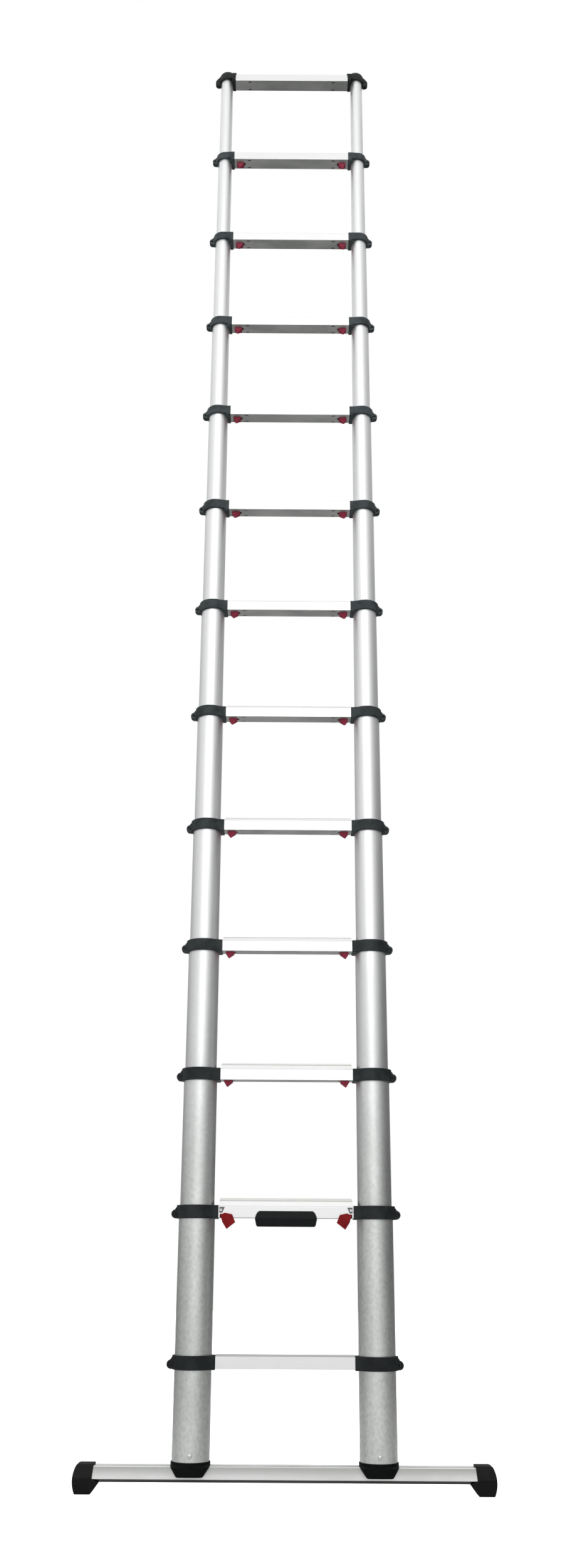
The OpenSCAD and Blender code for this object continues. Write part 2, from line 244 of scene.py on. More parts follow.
def make_floor():
    """Plain white floor that runs into the white background."""
    half = FLOOR_HALF
    mesh = bpy.data.meshes.new("floor")
    corners = [(-half, -half, 0), (half, -half, 0), (half, half, 0), (-half, half, 0)]
    mesh.from_pydata(corners, [], [(0, 1, 2, 3)])
    floor = bpy.data.objects.new("floor", mesh)
    bpy.context.scene.collection.objects.link(floor)
    paper, g, surface = new_material("floor_paper", 0.9, 0.0)
    point = g.node("ShaderNodeTexCoord").outputs["Object"]
    aside = g.math("ABSOLUTE", g.node("ShaderNodeSeparateXYZ", {0: point}).outputs[0])
    level = g.ramp(aside, *FLOOR_TURNS, FLOOR_GREY, FLOOR_GREY_ASIDE)
    g.links.new(level, surface.inputs["Base Color"])
    surface.inputs["Specular IOR Level"].default_value = 0.0
    surface.inputs["Emission Color"].default_value = grey(1)
    seen = g.node("ShaderNodeLightPath").outputs["Is Camera Ray"]
    g.links.new(g.math("MULTIPLY", seen, FLOOR_GLOW), surface.inputs["Emission Strength"])
    mesh.materials.append(paper)


# ---- Materials ----
TUBE_SHADE_HEIGHTS = (0.1, 1.35)  # heights between which the painted shade low on the tubes gives way
PAINTED_PALE_HEIGHTS = (0.2, 2.7)  # heights between which a plastic is painted paler, as painted light


def new_material(name, roughness, metallic):
    """A material, its graph and its Principled node."""
    made = bpy.data.materials.new(name)
    made.use_nodes = True
    g = Graph(made.node_tree)
    surface = g.nodes["Principled BSDF"]
    surface.inputs["Roughness"].default_value = roughness
    surface.inputs["Metallic"].default_value = metallic
    return made, g, surface


def add_bump(g, surface, height, strength, distance):
    bump = g.node(
        "ShaderNodeBump", {"Height": height, "Strength": strength, "Distance": distance}
    )
    g.links.new(bump.outputs[0], surface.inputs["Normal"])


def tube_aluminium():
    """Satin anodised tube: fine lines along its length, faint mottling that is stronger low
    on the ladder, and a duller, greyer colour low on the ladder that is painted shade."""
    made, g, surface = new_material("tube_aluminium", 0.4, 1.0)
    point = g.node("ShaderNodeTexCoord").outputs["Object"]
    height = g.node("ShaderNodeSeparateXYZ", {0: point}).outputs[2]
    low = g.ramp(height, *TUBE_SHADE_HEIGHTS, 1.0, 0.0)
    lines = g.noise(point, 1.0, 4.0, (1500, 1500, 9))
    speckle = g.noise(point, 420.0, 2.0)
    mottle = g.noise(point, 16.0, 5.0, (1, 1, 0.6))
    grime = g.noise(point, 150.0, 6.0, (1, 1, 0.8))
    # painted shade: the colour turns duller and greyer low on the ladder
    colour = g.mix(low, rgb(0.95, 0.955, 0.96), rgb(0.79, 0.815, 0.79))
    patch = g.math("MULTIPLY", g.ramp(mottle, 0.3, 0.72, 0.0, 0.22), g.ramp(low, 0, 1, 0.1, 1))
    colour = g.mix(patch, colour, rgb(0.36, 0.39, 0.36))
    patch = g.math("MULTIPLY", g.ramp(grime, 0.3, 0.8, 0.0, 0.36), g.ramp(low, 0, 1, 0.06, 1))
    colour = g.mix(patch, colour, rgb(0.34, 0.36, 0.33))
    colour = g.mix(g.ramp(lines, 0.35, 0.65, 0.0, 0.12), colour, rgb(0.55, 0.56, 0.56))
    colour = g.mix(g.ramp(speckle, 0.55, 0.8, 0.0, 0.1), colour, grey(1))
    g.links.new(colour, surface.inputs["Base Color"])
    rough = g.math("ADD", g.ramp(lines, 0.3, 0.7, 0.42, 0.5), g.math("MULTIPLY", low, -0.05))
    rough = g.math("ADD", rough, g.ramp(mottle, 0.3, 0.7, -0.03, 0.04))
    g.links.new(rough, surface.inputs["Roughness"])
    height = g.math("ADD", lines, g.math("MULTIPLY", speckle, 0.6))
    add_bump(g, surface, height, 0.25, 0.04 * MM)
    return made


UNDER_SHADE_DARK = rgb(0.32, 0.33, 0.32)  # painted shade on the rungs' underside, clouded between this grey and the next
UNDER_SHADE_PALE = rgb(0.46, 0.47, 0.455)


def rung_aluminium():
    """Satin anodised extrusion: die lines along X, a darker tread, a painted shade line
    along the crease, and a darker underside that is painted shade."""
    made, g, surface = new_material("rung_aluminium", 0.4, 1.0)
    coord = g.node("ShaderNodeTexCoord")
    point = coord.outputs["Object"]
    up = g.node("ShaderNodeSeparateXYZ", {0: coord.outputs["Normal"]}).outputs[2]
    die_lines = g.noise(point, 1.0, 4.0, (7, 1300, 1300))
    speckle = g.noise(point, 500.0, 2.0)
    mottle = g.noise(point, 18.0, 5.0, (0.5, 1, 1))
    # painted shade: downward faces take the underside's darker colour
    under = g.ramp(up, -0.95, -0.7, 1.0, 0.0)
    colour = g.mix(g.ramp(die_lines, 0.35, 0.65, 0.0, 0.1), grey(0.95), grey(0.6))
    z = g.node("ShaderNodeSeparateXYZ", {0: point}).outputs[2]
    top = g.ramp(z, TOP_RUNG_Z - 20 * MM, TOP_RUNG_Z - 10 * MM, 0.0, 1.0)
    above = g.math("SUBTRACT", z, g.math("MULTIPLY", top, TOP_RUNG_RISE))
    above = g.math("MODULO", g.math("SUBTRACT", above, RUNG_Z), RUNG_PITCH)
    # painted shade: a thin darker line along the crease where the front turns into its slope
    crease_shade = g.math("ABSOLUTE", g.math("SUBTRACT", above, RUNG_CREASE_Z))
    crease_shade = g.ramp(crease_shade, 0.4 * MM, 1.1 * MM, 0.55, 0.0)
    colour = g.mix(crease_shade, colour, grey(0.4))
    colour = g.mix(g.ramp(mottle, 0.4, 0.7, 0.0, 0.08), colour, rgb(0.7, 0.71, 0.69))
    tread = g.ramp(above, RUNG_TREAD_Z, RUNG_TREAD_Z + 1 * MM, 0.0, 1.0)
    colour = g.mix(tread, colour, rgb(0.56, 0.56, 0.54))
    # painted shade of the underside, clouded at random
    underside_shade = g.mix(g.ramp(mottle, 0.3, 0.7, 0.0, 1.0), UNDER_SHADE_DARK, UNDER_SHADE_PALE)
    # the top rung's underside is painted a little darker still, as painted shade
    underside_shade = g.mix(g.math("MULTIPLY", top, 0.12), underside_shade, rgb(0.08, 0.085, 0.08))
    colour = g.mix(under, colour, underside_shade)
    colour = g.mix(g.ramp(speckle, 0.6, 0.85, 0.0, 0.1), colour, grey(1))
    g.links.new(colour, surface.inputs["Base Color"])
    rough = g.math("ADD", g.ramp(die_lines, 0.3, 0.7, 0.34, 0.42), g.math("MULTIPLY", under, 0.08))
    g.links.new(rough, surface.inputs["Roughness"])
    height = g.math("ADD", die_lines, g.math("MULTIPLY", speckle, 0.5))
    add_bump(g, surface, height, 0.25, 0.04 * MM)
    return made


def bar_aluminium():
    """Satin extrusion of the stabiliser bar: a face painted paler downward as a highlight,
    paler upward faces, painted shade on its underside and lower lip, and scuffs from the ground."""
    made, g, surface = new_material("bar_aluminium", 0.42, 1.0)
    coord = g.node("ShaderNodeTexCoord")
    point = coord.outputs["Object"]
    low, high = box_of["stabiliser_bar"]
    z = g.node("ShaderNodeSeparateXYZ", {0: point}).outputs[2]
    up = g.node("ShaderNodeSeparateXYZ", {0: coord.outputs["Normal"]}).outputs[2]
    die_lines = g.noise(point, 1.0, 4.0, (6, 1200, 1200))
    scuffs = g.noise(point, 40.0, 6.0, (0.25, 1, 1))
    mottle = g.noise(point, 12.0, 4.0)
    # painted highlight: the face is painted paler towards its lower edge
    colour = g.mix(g.ramp(z, low.z + 6 * MM, high.z, 0.0, 1.0), grey(1), rgb(0.55, 0.56, 0.53))
    colour = g.mix(g.ramp(up, 0.5, 0.9, 0.0, 1.0), colour, grey(0.9))
    colour = g.mix(g.ramp(die_lines, 0.35, 0.65, 0.0, 0.12), colour, rgb(0.55, 0.56, 0.55))
    colour = g.mix(g.ramp(mottle, 0.35, 0.7, 0.0, 0.25), colour, rgb(0.6, 0.62, 0.59))
    colour = g.mix(g.ramp(scuffs, 0.62, 0.75, 0.0, 0.25), colour, rgb(0.42, 0.43, 0.4))
    # painted shade on the downward faces and along the lowest strip of the face
    lip_shade = g.math("MAXIMUM", g.ramp(up, -0.55, -0.2, 0.97, 0.0),
                 g.ramp(z, low.z + 1.2 * MM, low.z + 2.2 * MM, 0.6, 0.0))
    colour = g.mix(lip_shade, colour, rgb(0.09, 0.09, 0.085))
    g.links.new(colour, surface.inputs["Base Color"])
    g.links.new(g.ramp(scuffs, 0.3, 0.75, 0.36, 0.5), surface.inputs["Roughness"])
    add_bump(g, surface, g.math("ADD", die_lines, scuffs), 0.25, 0.05 * MM)
    return made


def moulded(name, deep, pale, roughness, specular, painted_paler=1.0, shaded_to=0.0):
    """Moulded plastic or rubber: fine spark-eroded grain, uneven sheen, and a faintly paler
    colour along its sharper edges. The last two arguments give how much paler it is painted at
    the top of the ladder, as painted light, and the height up to which painted shade darkens it."""
    made, g, surface = new_material(name, roughness, 0.0)
    point = g.node("ShaderNodeTexCoord").outputs["Object"]
    grain = g.noise(point, 900.0, 3.0)
    cloud = g.noise(point, 35.0, 4.0)
    pointed = g.node("ShaderNodeNewGeometry").outputs["Pointiness"]
    colour = g.mix(g.ramp(cloud, 0.3, 0.7, 0.0, 1.0), deep, pale)
    # paler along its sharper edges, found by pointiness
    edge_pale = tuple(min(1.0, v * 1.6 + 0.008) for v in pale[:3]) + (1,)
    colour = g.mix(g.ramp(pointed, 0.53, 0.62, 0.0, 0.4), colour, edge_pale)
    height = g.node("ShaderNodeSeparateXYZ", {0: point}).outputs[2]
    if shaded_to:
        # painted shade: darker below the given height
        gain = g.ramp(height, shaded_to - 1 * MM, shaded_to + 1 * MM, 0.4, 1.0)
    else:
        # painted light: the plastic is painted paler higher up the ladder
        limits = {"Value": height, 1: PAINTED_PALE_HEIGHTS[0], 2: PAINTED_PALE_HEIGHTS[1], 3: 1.0, 4: painted_paler}
        gain = g.node("ShaderNodeMapRange", limits).outputs[0]
    scaled = g.node("ShaderNodeVectorMath", {0: colour}, operation="SCALE")
    g.links.new(gain, scaled.inputs["Scale"])
    g.links.new(scaled.outputs[0], surface.inputs["Base Color"])
    rough = g.ramp(cloud, 0.3, 0.7, roughness - 0.05, roughness + 0.05)
    rough = g.math("ADD", rough, g.ramp(grain, 0.3, 0.7, -0.04, 0.04))
    g.links.new(rough, surface.inputs["Roughness"])
    surface.inputs["Specular IOR Level"].default_value = specular
    add_bump(g, surface, grain, 0.5, 0.08 * MM)
    return made


def plated_steel(name, pale, deep):
    """Plated steel with faint clouding and turning marks."""
    made, g, surface = new_material(name, 0.3, 1.0)
    point = g.node("ShaderNodeTexCoord").outputs["Object"]
    cloud = g.noise(point, 160.0, 4.0)
    marks = g.noise(point, 2200.0, 2.0)
    colour = g.mix(g.ramp(cloud, 0.3, 0.7, 0.0, 1.0), pale, deep)
    g.links.new(colour, surface.inputs["Base Color"])
    g.links.new(g.ramp(marks, 0.3, 0.7, 0.2, 0.34), surface.inputs["Roughness"])
    add_bump(g, surface, marks, 0.3, 0.03 * MM)
    return made


# Deep and pale colour, roughness and specular level, then how much paler the top of the
# ladder is painted, as painted light, and the height up to which painted shade darkens the
# material.
MOULDED = {
    # the collars are painted up to 4.4 times paler at the top of the ladder, as painted light
    "collar_plastic": (
        rgb(0.0078, 0.0096, 0.0102), rgb(0.0165, 0.0202, 0.0212), 0.56, 0.18, 4.4),
    "end_cap_plastic": (
        rgb(0.014, 0.016, 0.0165), rgb(0.026, 0.029, 0.03), 0.6, 0.16),
    "foot_cap_plastic": (
        rgb(0.002, 0.0025, 0.0025), rgb(0.004, 0.0045, 0.0045), 0.6, 0.08),
    # the feet's lower part, up to the fold, is darkened as painted shade
    "foot_rubber": (
        rgb(0.008, 0.009, 0.008), rgb(0.015, 0.016, 0.0145), 0.6, 0.14, 1.0, FOOT_FOLD_Z),
    "release_button_plastic": (
        rgb(0.3, 0.026, 0.056), rgb(0.4, 0.04, 0.085), 0.42, 0.2),
    "trigger_plastic": (
        rgb(0.18, 0.005, 0.007), rgb(0.26, 0.008, 0.012), 0.42, 0.12),
    "label_plastic": (
        rgb(0.006, 0.0075, 0.008), rgb(0.009, 0.011, 0.0115), 0.5, 0.12),
}


def make_materials():
    made = {
        "tube_aluminium": tube_aluminium(),
        "rung_aluminium": rung_aluminium(),
        "bar_aluminium": bar_aluminium(),
    }
    for name, values in MOULDED.items():
        made[name] = moulded(name, *values)
    made["steel"] = plated_steel("zinc_steel", rgb(0.82, 0.82, 0.81), rgb(0.62, 0.63, 0.64))
    made["bracket_steel"] = plated_steel("bracket_steel", grey(0.2), grey(0.14))
    made["dark_steel"] = plated_steel("dark_steel", grey(0.09), grey(0.06))
    return made


# ---- Mesh helpers ----
WELD = 1e-6  # points nearer than this are one


def finish_piece(name, mesh, slot, body, node=None, smooth_angle=35, look=None):
    """Links a mesh as a piece that rides on a body and may stand for a CAD node.
    Look is the material's key where it is not the slot's own."""
    mesh.shade_smooth()
    mesh.set_sharp_from_angle(angle=math.radians(smooth_angle))
    piece = bpy.data.objects.new(name, mesh)
    bpy.context.scene.collection.objects.link(piece)
    mesh.materials.append(materials[look or slot])
    weighted = piece.modifiers.new("flat_faces", "WEIGHTED_NORMAL")
    weighted.keep_sharp = True
    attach(piece, body)
    if node:
        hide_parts(node)
    return piece


def to_mesh(bm, name):
    bmesh.ops.remove_doubles(bm, verts=bm.verts, dist=WELD)
    bmesh.ops.recalc_face_normals(bm, faces=bm.faces)
    mesh = bpy.data.meshes.new(name)
    bm.to_mesh(mesh)
    bm.free()
    return mesh


def add_grid(bm, rows, close_rows=True, close_columns=True):
    """Quads over rows of points, joined round in one or both directions."""
    made = [[bm.verts.new(point) for point in row] for row in rows]
    last_row = len(made) if close_rows else len(made) - 1
    for i in range(last_row):
        a, b = made[i], made[(i + 1) % len(made)]
        last = len(a) if close_columns else len(a) - 1
        for k in range(last):
            m = (k + 1) % len(a)
            bm.faces.new((a[k], a[m], b[m], b[k]))
    return made


def softened(node, width, least_angle=25, chosen=None, segments=3):
    """A copy of a CAD node's mesh with its sharp edges rounded by width."""
    bm = bmesh.new()
    bm.from_mesh(frame["nodes"][node].data)
    bmesh.ops.remove_doubles(bm, verts=bm.verts, dist=1e-5)
    bmesh.ops.dissolve_limit(
        bm, angle_limit=math.radians(0.8), verts=bm.verts, edges=bm.edges
    )
    sharp = [
        e for e in bm.edges
        if e.is_manifold and e.calc_face_angle(0) > math.radians(least_angle)
        and (chosen is None or chosen(e))
    ]
    bmesh.ops.bevel(
        bm, geom=sharp, offset=width, segments=segments, profile=0.5,
        affect="EDGES", clamp_overlap=True,
    )
    return bm


def round_edges(bm, least_angle, width, segments):
    """Rounds the edges of a mesh that turn by more than an angle in degrees."""
    least = math.radians(least_angle)
    edges = [e for e in bm.edges if e.is_manifold and e.calc_face_angle(0) > least]
    bmesh.ops.bevel(
        bm, geom=edges, offset=width, segments=segments, profile=0.5,
        affect="EDGES", clamp_overlap=True,
    )


def close_ends(bm, loops):
    """Closes both ends of a skin with one face each."""
    bm.faces.new(loops[0])
    bm.faces.new(loops[-1])


# ---- Collars ----
def smoothstep(value):
    value = min(1.0, max(0.0, value))
    return value * value * (3 - 2 * value)


def ray_reach(angle, outline, least=0.0):
    """Distance from the origin to the furthest side of an outline along a ray."""
    dx, dy = math.cos(angle), math.sin(angle)
    reach = least
    for (ax, ay), (bx, by) in zip(outline, outline[1:] + outline[:1]):
        ex, ey = bx - ax, by - ay
        cross = dx * ey - dy * ex
        if abs(cross) < 1e-12:
            continue
        along = (ax * ey - ay * ex) / cross
        part = (ax * dy - ay * dx) / cross
        if -1e-9 <= part <= 1 + 1e-9 and along > reach:
            reach = along
    return reach


def corner_angles(count, corners):
    """Even angles in radians, with a few more on each side of the given corners."""
    angles = {round(2 * math.pi * i / count, 6) for i in range(count)}
    for x, y in corners:
        at = math.atan2(y, x) % (2 * math.pi)
        for step in (-0.035, -0.014, 0.0, 0.014, 0.035):
            angles.add(round((at + step) % (2 * math.pi), 6))
    return sorted(angles)


def edge_arc(reach, level, soft, start):
    """Quarter round of radius soft, from angle start, ending 90 degrees on."""
    return [
        (reach + soft * math.cos(math.radians(start + step)),
         level + soft * math.sin(math.radians(start + step)))
        for step in (0, 22.5, 45, 67.5, 90)
    ]


def collar_mesh(j, side):
    """Clamp band with its neck, as a closed ring round the tube's axis. The neck's
    underside lies a little higher on every rung above the second."""
    r = tube_radius(held_tube(j))
    top_r = r if j == 1 else tube_radius(j) + 0.05 * MM
    w = r + COLLAR_WALL
    neck_x = STILE_X - box_of[f"rung_{two(j)}"][1].x
    block_x = neck_x - NECK_BLOCK
    lift = 0.6 * MM * max(0, j - 2)
    soft = 1.5 * MM
    corners = [(-neck_x, NECK_FRONT), (-neck_x, NECK_BACK)]
    outline = [corners[0], (-block_x, NECK_FRONT), (0, -w),
               (0, w), (-block_x, NECK_BACK), corners[1]]
    rows = []
    for angle in corner_angles(96, corners):
        reach = ray_reach(angle, outline, w)
        x = reach * math.cos(angle)
        if any(abs(angle - math.atan2(cy, cx) % (2 * math.pi)) < 0.004 for cx, cy in corners):
            reach -= 0.5 * MM  # takes the point off the corner
        low = lift * smoothstep((x + block_x + 0.5 * MM) / (4 * MM))
        profile = [(r, low + 0.5 * MM), (r + 0.5 * MM, low)]
        profile += edge_arc(reach - soft, low + soft, soft, -90)
        profile += edge_arc(reach - soft, COLLAR_H - soft, soft, 0)
        profile += [(top_r + 0.9 * MM, COLLAR_H), (top_r, COLLAR_H - 0.7 * MM)]
        if j > 1:
            profile += [(top_r, TUBE_IN_COLLAR), (r, TUBE_IN_COLLAR)]
        rows.append([
            (side * (STILE_X + d * math.cos(angle)), d * math.sin(angle), collar_z(j) + z)
            for d, z in profile
        ])
    bm = bmesh.new()
    add_grid(bm, rows)
    return bm


def add_ear(bm, j, side, rise=0.0, plain=False):
    """Clamping ear with a split line round its edge and a recess for its screw, or
    a plain and more rounded lobe. Returns the middle of the recess's floor."""
    r = tube_radius(held_tube(j))
    tip_x = r + COLLAR_WALL + 11.5 * MM - EAR_R
    axis_x, axis_z = tip_x + 2 * MM, EAR_Z + rise / 2
    inner, shoulder = r + 1.5 * MM, r + COLLAR_WALL + 1 * MM
    if plain:
        outline = [(inner, 0.5 * MM), (inner, 38 * MM), (inner + 0.5 * MM, 38 * MM),
                   (26 * MM, 31.5 * MM)]
    else:
        outline = [(inner, 0.5 * MM), (inner, 24 * MM + rise), (shoulder, 24 * MM + rise),
                   (tip_x + 2 * MM, 18.5 * MM + rise)]
    outline = [(x - axis_x, z - axis_z) for x, z in outline]
    steps = 18
    for k in range(4 if plain else 0, steps + 1):
        turn = math.radians(90 - 180 * k / steps)
        shift = rise if turn > 0 else 0.0
        outline.append((tip_x - axis_x + EAR_R * math.cos(turn),
                        EAR_Z + shift - axis_z + EAR_R * math.sin(turn)))
    hole, floor, slit = 3.2 * MM, -3 * MM, 0.5 * MM
    if plain:
        soft = 3.5 * MM
        front = [(TINY_R, -EAR_T), (hole, -EAR_T)]
    else:
        soft = 1.2 * MM
        front = [(TINY_R, floor), (hole, floor), (hole, -EAR_T + 0.5 * MM),
                 (hole + 0.5 * MM, -EAR_T)]
    rows = []
    for angle in corner_angles(60, outline[:3]):
        reach = ray_reach(angle, outline)
        profile = front + edge_arc(reach - soft, -EAR_T + soft, soft, -90)
        if not plain:
            profile += [(reach, -slit), (reach - 0.8 * MM, 0), (reach, slit)]
        profile += edge_arc(reach - soft, EAR_T - soft, soft, 0)
        profile += [(TINY_R, EAR_T)]
        rows.append([
            (side * (STILE_X + axis_x + d * math.cos(angle)), y,
             collar_z(j) + axis_z + d * math.sin(angle))
            for d, y in profile
        ])
    made = add_grid(bm, rows, close_columns=False)
    close_ends(bm, list(zip(*made)))
    return (side * (STILE_X + axis_x), floor, collar_z(j) + axis_z)


def hexagon(turn, across):
    """Distance from the centre to a hexagon's side along an angle."""
    return across / 2 / math.cos((turn + math.pi / 6) % (math.pi / 3) - math.pi / 6)


def screw_mesh(centre, base_y, head_r, head_h, socket, out=-1):
    """Button-head screw with a hexagon socket, along Y, its head facing out."""
    rows = []
    for i in range(48):
        turn = 2 * math.pi * i / 48
        flat = hexagon(turn, socket)
        profile = [
            (TINY_R, 0), (head_r, 0), (head_r, 0.45 * head_h), (0.93 * head_r, 0.72 * head_h),
            (0.75 * head_r, 0.92 * head_h), (flat + 0.2 * MM, head_h),
            (flat, head_h - 0.15 * MM), (flat, 0.45 * head_h), (TINY_R, 0.4 * head_h),
        ]
        rows.append([
            (centre[0] + d * math.cos(turn), base_y + out * y, centre[1] + d * math.sin(turn))
            for d, y in profile
        ])
    bm = bmesh.new()
    made = add_grid(bm, rows, close_columns=False)
    close_ends(bm, list(zip(*made)))
    return bm


def rung_end_insert(j, side):
    """Plug of the collar that closes the upper part of the rung's open end."""
    box = box_of[f"rung_{two(j)}"]
    half, z0 = box[1].x, box[0].z
    # inner corners of the rung's section as (y, z) in millimetres
    upper = [(-21.5, 24.5), (-3.0, 34.7), (22.1, 40.8), (20.0, 33.0), (17.9, 24.5)]
    lower = [(-4.5, 13.0), (-4.5, 24.5), (17.9, 24.5), (14.9, 13.0)]
    plug_depth, sunk = 12.0, 0.05 * MM
    slant_from, slant_over, slant_depth = 26.5, 18, 5
    bm = bmesh.new()
    for outline, slanted in ((upper, True), (lower, False)):
        inner = [plug_depth] * len(outline)
        outer = [
            max(0.0, (z - slant_from) / slant_over * slant_depth) if slanted else 0.0
            for _, z in outline
        ]
        rows = [
            [(side * (half - depth * MM - sunk), y * MM, z0 + z * MM)
             for depth, (y, z) in zip(depths, outline)]
            for depths in (inner, outer)
        ]
        for row in add_grid(bm, rows, close_rows=False):
            bm.faces.new(row)
    return bm


def ear_screw(name, place, body):
    """Socket screw on the floor of an ear's recess."""
    x, y, z = place
    bm = screw_mesh((x, z), y, head_r=2.9 * MM, head_h=3.1 * MM, socket=2.5 * MM)
    finish_piece(name, to_mesh(bm, name), "steel", body, look="dark_steel")


def make_collars():
    for j in range(1, RUNG_COUNT):
        node = f"collars_{two(j)}"
        for name, side in SIDES.items():
            bm = collar_mesh(j, side)
            screw = add_ear(bm, j, side)
            finish_piece(f"collar_{two(j)}_{name}", to_mesh(bm, node), "collar_plastic",
                         body_of[node], node)
            ear_screw(f"ear_screw_{two(j)}_{name}", screw, body_of[node])
            if j > 1:
                insert = to_mesh(rung_end_insert(j, side), node)
                finish_piece(f"rung_insert_{two(j)}_{name}", insert, "collar_plastic",
                             body_of[node], node)


# ---- End caps ----
def cap_section(x, r, half):
    """Side outline of a right-hand end cap at x from the tube's axis, as (y, z) in
    metres above the collar's lower edge, going round from the front lower corner."""
    w = r + COLLAR_WALL
    rung_end = half - STILE_X
    share = smoothstep((x - (rung_end + 9 * MM) + 4 * MM) / (14 * MM))
    low = 2.2 * MM + 9.8 * MM * smoothstep((x - (rung_end + NECK_BLOCK)) / (4 * MM))
    outward = max(x, 0.0)
    reach = math.sqrt(max(w * w - outward ** 2, 0.0))
    crest = 32 * MM + 22 * MM * math.sqrt(max(0.0, 1 - (outward / w) ** 2))
    eaves = crest * 0.35  # where the dome's sides turn into its roof
    sleeve = [
        (-28.5, 0), (-28.5, 14), (-28.5, 27), (-27.2, 29.6), (-17, 36.4), (-6.5, 41.6),
        (4, 45.2), (15, 48.0), (24, 50.0), (27.2, 49.6), (27.6, 46), (24, 30), (18, 15),
        (15.5, 0),
    ]
    last = len(sleeve) - 1
    dome = []
    for k in range(len(sleeve)):
        if k < 2:
            dome.append((-reach, low + (eaves - low) * k / 2))
        elif k > last - 2:
            dome.append((reach, low + (eaves - low) * (last - k) / 2))
        else:
            turn = math.radians(180 - 180 * (k - 2) / (last - 4))
            rise = (crest - eaves) * math.sin(turn) ** 0.8 if 0 < turn < math.pi else 0.0
            dome.append((reach * math.cos(turn), eaves + rise))
    points = []
    for (sy, sz), (dy, dz) in zip(sleeve, dome):
        sz = max(sz * MM, low)
        points.append((sy * MM * (1 - share) + dy * share, sz * (1 - share) + dz * share))
    return points


def end_cap_mesh(side):
    """Hood over the top of a stile: a sleeve round the rung's end swells into a
    crown over the tube."""
    r = tube_radius(TUBE_COUNT)
    half = box_of[f"rung_{two(RUNG_COUNT)}"][1].x
    z0 = collar_z(RUNG_COUNT)
    start = half - STILE_X
    w = r + COLLAR_WALL
    tip_slant, slant_from, slant_over = 6.3 * MM, 20 * MM, 34 * MM
    stations = [start, *(start + ahead * MM for ahead in (2, 5, 8, 11, 15))]
    stations += [w * math.sin(math.radians(a)) for a in (-12, 0, 14, 28, 42, 55, 67, 77, 85, 89.5)]
    rows = []
    for i, x in enumerate(stations):
        row = []
        for y, z in cap_section(x, r, half):
            slant = tip_slant * smoothstep((z - slant_from) / slant_over) * max(0.0, 1 - i / 3)
            row.append((side * (STILE_X + x - slant), y, z0 + z))
        rows.append(row)
    bm = bmesh.new()
    close_ends(bm, add_grid(bm, rows, close_rows=False))
    bmesh.ops.remove_doubles(bm, verts=bm.verts, dist=WELD)
    bmesh.ops.recalc_face_normals(bm, faces=bm.faces)
    round_edges(bm, 50, 1.2 * MM, 2)
    return bm


def make_end_caps():
    for name, side in SIDES.items():
        bm = end_cap_mesh(side)
        add_ear(bm, RUNG_COUNT, side, 7 * MM, plain=True)
        finish_piece(f"end_cap_{name}", to_mesh(bm, "end_cap"), "collar_plastic",
                     body_of["end_caps"], "end_caps", smooth_angle=50, look="end_cap_plastic")


# ---- Pieces that keep their CAD shape, with rounded edges ----
def split_sides(bm, name, keep_right):
    """Keeps one half of a mirrored pair."""
    unwanted = [v for v in bm.verts if (v.co.x > 0) != keep_right]
    bmesh.ops.delete(bm, geom=unwanted, context="VERTS")
    return to_mesh(bm, name)


def long_edge(edge):
    """True for the long outer edges of a rung's section."""
    x, y, z = edge.verts[0].co - edge.verts[1].co
    return abs(x) > 12 * MM and abs(y) + abs(z) < 0.01 * MM


def make_rungs():
    for j in range(1, RUNG_COUNT + 1):
        node = f"rung_{two(j)}"
        low, high = box_of[node]

        def outer(edge):
            y, z = edge.verts[0].co.yz
            at_front, at_back = abs(y - low.y) < 0.1 * MM, abs(y - high.y) < 0.6 * MM
            at_corner = at_front or at_back or abs(z - low.z) < 0.1 * MM
            return long_edge(edge) and at_corner

        bm = softened(node, 0.6 * MM, least_angle=15, chosen=outer)
        finish_piece(f"rung_body_{two(j)}", to_mesh(bm, node), "rung_aluminium",
                     body_of[node], node, smooth_angle=20)


def make_pairs():
    """Left and right pieces of the nodes that hold a mirrored pair."""
    pairs = [("bar_bolts", "bar_bolt", "steel", 0.5 * MM)]
    for j in range(3, RUNG_COUNT):
        stem = f"release_button_{two(j)}"
        pairs.append((f"release_buttons_{two(j)}", stem, "release_button_plastic", 0.9 * MM))
    for node, stem, slot, width in pairs:
        for name, side in SIDES.items():
            bm = softened(node, width)
            mesh = split_sides(bm, stem, side > 0)
            finish_piece(f"{stem}_{name}", mesh, slot, body_of[node], node)


def remeshed(node, voxel, rounds):
    """A copy of a CAD node's mesh, remade from voxels and smoothed, so that every
    edge looks moulded, then thinned."""
    piece = bpy.data.objects.new(node + "_soft", frame["nodes"][node].data.copy())
    bpy.context.scene.collection.objects.link(piece)
    weld = piece.modifiers.new("weld", "WELD")
    weld.merge_threshold = 0.00001
    skin = piece.modifiers.new("skin", "REMESH")
    skin.mode = "VOXEL"
    skin.voxel_size = voxel
    smooth = piece.modifiers.new("smooth", "SMOOTH")
    smooth.iterations = rounds
    smooth.factor = 0.5
    thin = piece.modifiers.new("thin", "DECIMATE")
    thin.ratio = 0.25
    bpy.context.view_layer.update()
    result = piece.evaluated_get(bpy.context.evaluated_depsgraph_get())
    mesh = bpy.data.meshes.new_from_object(result)
    mesh.materials.clear()
    mesh.name = node
    bpy.data.objects.remove(piece)
    return mesh


def make_triggers():
    for name in SIDES:
        node = f"thumb_trigger_{name}"
        mesh = remeshed(node, voxel=0.5 * MM, rounds=6)
        finish_piece(f"trigger_lever_{name}", mesh, "trigger_plastic",
                     body_of[node], node, smooth_angle=60)


